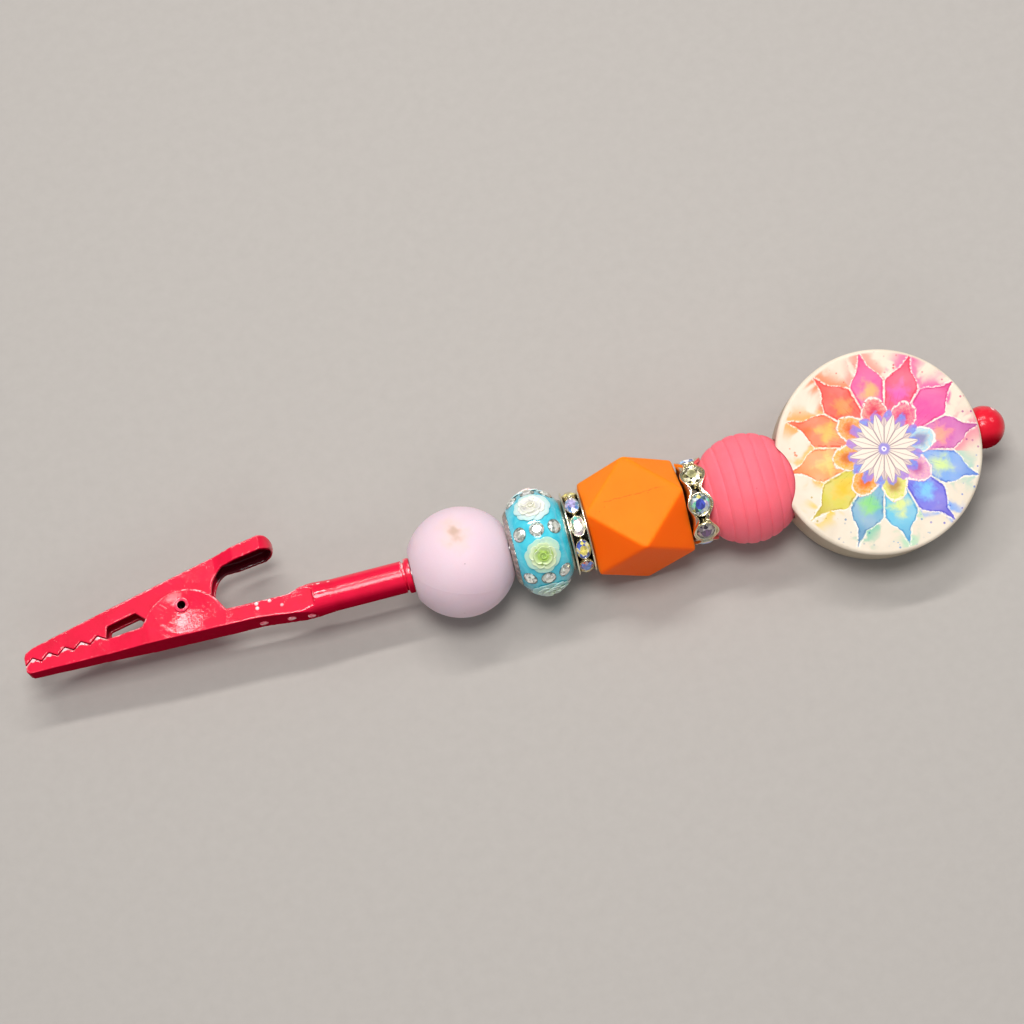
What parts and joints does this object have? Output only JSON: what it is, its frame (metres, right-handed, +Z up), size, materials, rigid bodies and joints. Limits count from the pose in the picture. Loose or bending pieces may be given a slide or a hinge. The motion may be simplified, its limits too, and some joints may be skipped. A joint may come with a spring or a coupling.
{
  "type": "beaded sectioning clip",
  "caption": "Alligator hair clip with a sprung toothed jaw, and a rod handle strung with a round bead, a resin bead, stone-set spacers, a faceted bead, a ribbed bead and a printed disc",
  "frame": {"origin": "middle of the footprint, on the table that the clip lies on", "axes": "+X along the rod from the jaw tips to the end ball, +Y towards the squeeze lever, +Z up"},
  "size_m": [0.1356, 0.0288, 0.015],
  "materials": {
    "red_paint": "gloss paint over pressed steel",
    "red_paint_lever": "gloss paint over pressed steel",
    "red_paint_rivet": "gloss paint",
    "spring_wire": "drawn wire",
    "rod_steel": "gloss paint",
    "red_paint_collar": "gloss paint",
    "lavender_silicone": "matt silicone",
    "turquoise_resin": "glossy resin",
    "silver_sleeve": "polished",
    "silver_rings": "polished",
    "flower_resin": "moulded resin",
    "clear_stones": "cut stone, foil backed",
    "spacer_metal": "polished pale gold",
    "spacer_crystal": "cut stone, iridescent",
    "orange_silicone": "matt silicone",
    "wavy_hub_metal": "polished",
    "wavy_band_metal": "polished pale gold",
    "wavy_crystal": "cut stone, iridescent",
    "pink_silicone": "matt silicone",
    "printed_silicone": "cream silicone, printed face",
    "red_paint_ball": "gloss paint"
  },
  "bodies": {
    "clip_and_rod": {"lower_jaw": "red_paint", "pivot_rivet": "red_paint_rivet", "torsion_spring": "spring_wire", "rod": "rod_steel", "stop_collar": "red_paint_collar"},
    "lever": {"upper_jaw": "red_paint_lever"},
    "lavender": {"lavender_bead": "lavender_silicone"},
    "resin_bead": {"blue_bead_shell": "turquoise_resin", "blue_bead_core": "silver_sleeve", "blue_bead_grommets": "silver_rings", "blue_bead_roses": "flower_resin", "blue_bead_rhinestones": "clear_stones"},
    "plain_spacer": {"spacer_ring": "spacer_metal", "spacer_stones": "spacer_crystal"},
    "faceted": {"orange_bead": "orange_silicone"},
    "waved_spacer": {"wavy_spacer_hub": "wavy_hub_metal", "wavy_spacer_band": "wavy_band_metal", "wavy_spacer_stones": "wavy_crystal"},
    "ribbed": {"pink_ribbed_bead": "pink_silicone"},
    "disc": {"focal_disc": "printed_silicone"},
    "ball": {"end_ball": "red_paint_ball"}
  },
  "joints": [
    {"name": "lever_hinge", "type": "hinge", "parent": "clip_and_rod", "child": "lever", "pos_m": [-0.0455, 0.0032, 0.0075], "axis": [0, 0, 1], "range_deg": [-24, 0], "stiffness_Nm_per_rad": 0.03, "springref_deg": 57.3, "deforming": ["torsion_spring"]},
    {"name": "lavender_spin", "type": "hinge", "parent": "clip_and_rod", "child": "lavender", "pos_m": [-0.0078, 0, 0.0075], "axis": [1, 0, 0], "continuous": true},
    {"name": "resin_bead_spin", "type": "hinge", "parent": "clip_and_rod", "child": "resin_bead", "pos_m": [0.003, 0, 0.0075], "axis": [1, 0, 0], "continuous": true},
    {"name": "plain_spacer_spin", "type": "hinge", "parent": "clip_and_rod", "child": "plain_spacer", "pos_m": [0.0084, 0, 0.0075], "axis": [1, 0, 0], "continuous": true},
    {"name": "faceted_spin", "type": "hinge", "parent": "clip_and_rod", "child": "faceted", "pos_m": [0.0164, 0, 0.0075], "axis": [1, 0, 0], "continuous": true},
    {"name": "waved_spacer_spin", "type": "hinge", "parent": "clip_and_rod", "child": "waved_spacer", "pos_m": [0.0248, 0, 0.0075], "axis": [1, 0, 0], "continuous": true},
    {"name": "ribbed_spin", "type": "hinge", "parent": "clip_and_rod", "child": "ribbed", "pos_m": [0.0319, 0, 0.0075], "axis": [1, 0, 0], "continuous": true},
    {"name": "disc_spin", "type": "hinge", "parent": "clip_and_rod", "child": "disc", "pos_m": [0.0498, 0, 0.0075], "axis": [1, 0, 0], "continuous": true},
    {"name": "ball_unscrew", "type": "slide", "parent": "clip_and_rod", "child": "ball", "axis": [1, 0, 0], "range_m": [0, 0.008]}
  ]
}
